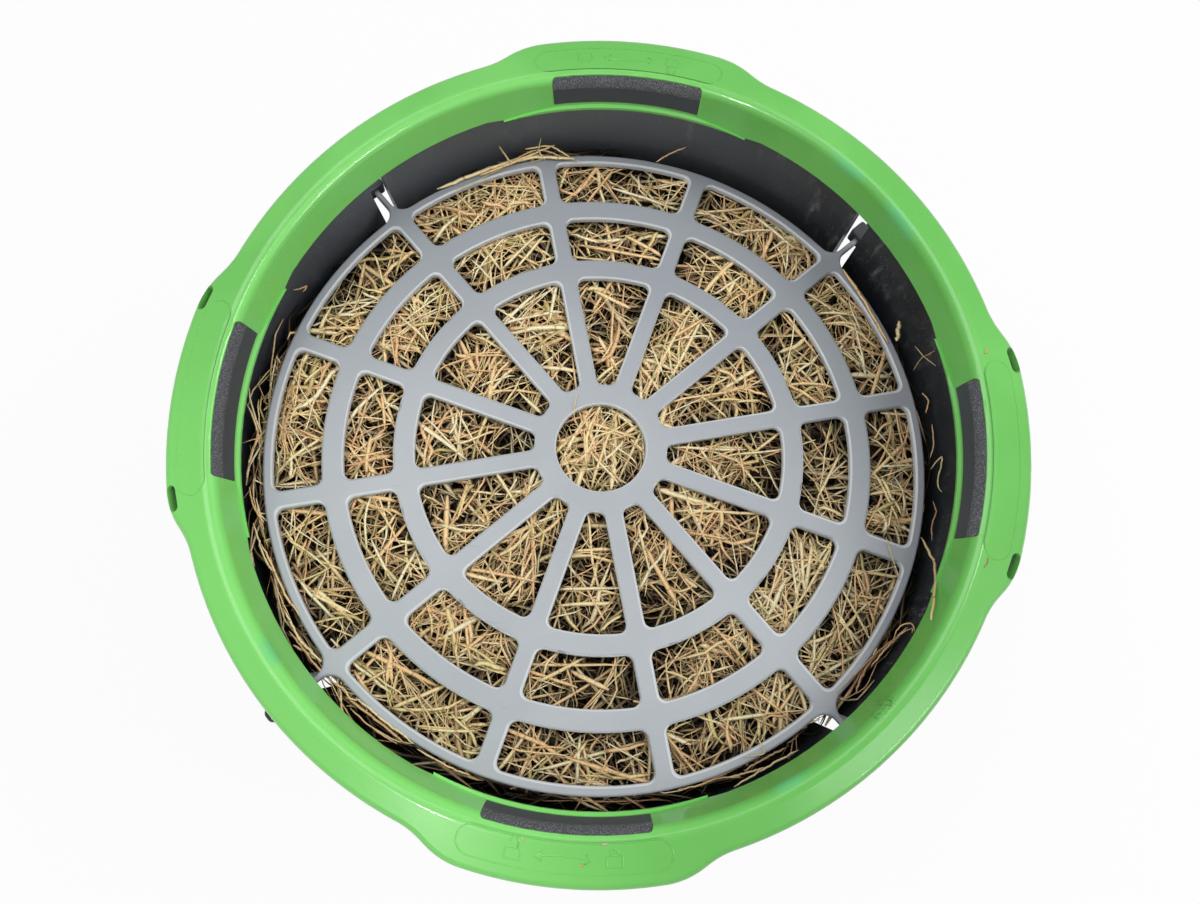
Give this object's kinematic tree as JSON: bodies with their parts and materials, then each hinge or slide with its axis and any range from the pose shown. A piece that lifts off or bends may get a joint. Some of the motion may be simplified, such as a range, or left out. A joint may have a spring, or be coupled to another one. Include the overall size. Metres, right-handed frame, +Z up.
{
  "type": "hay feeder",
  "caption": "Round slow hay feeder: black slotted tub, green twist-lock ring with handles, and a grey spoked grille that sinks with the hay.",
  "frame": {"origin": "centre of the tub's foot, on the ground", "axes": "+Z up along the tub's axis, +X through the right handle, +Y through the rear handle"},
  "size_m": [0.686, 0.686, 0.6],
  "materials": {
    "tub_black": "satin",
    "ring_green": "satin",
    "grille_grey": "satin",
    "grip_black": "matte",
    "keeper_grey": "satin",
    "cap_black": "gloss",
    "hay": "matte"
  },
  "bodies": {
    "tub": {"tub": "tub_black", "hay_fill": "hay"},
    "ring": {"locking_ring": "ring_green", "right_grip": "grip_black", "rear_grip": "grip_black", "left_grip": "grip_black", "front_grip": "grip_black"},
    "plate": {"grille": "grille_grey", "rear_right_keeper": "keeper_grey", "rear_left_keeper": "keeper_grey", "front_left_keeper": "keeper_grey", "front_right_keeper": "keeper_grey", "rear_right_cap": "cap_black", "rear_left_cap": "cap_black", "front_left_cap": "cap_black", "front_right_cap": "cap_black"}
  },
  "joints": [
    {"name": "ring_turn", "type": "hinge", "parent": "tub", "child": "ring", "pos_m": [0, 0, 0.58], "axis": [0, 0, 1], "range_deg": [0, 18]},
    {"name": "grille_slide", "type": "slide", "parent": "tub", "child": "plate", "axis": [0, 0, 1], "range_m": [-0.4, 0], "deforming": ["hay_fill"]}
  ]
}
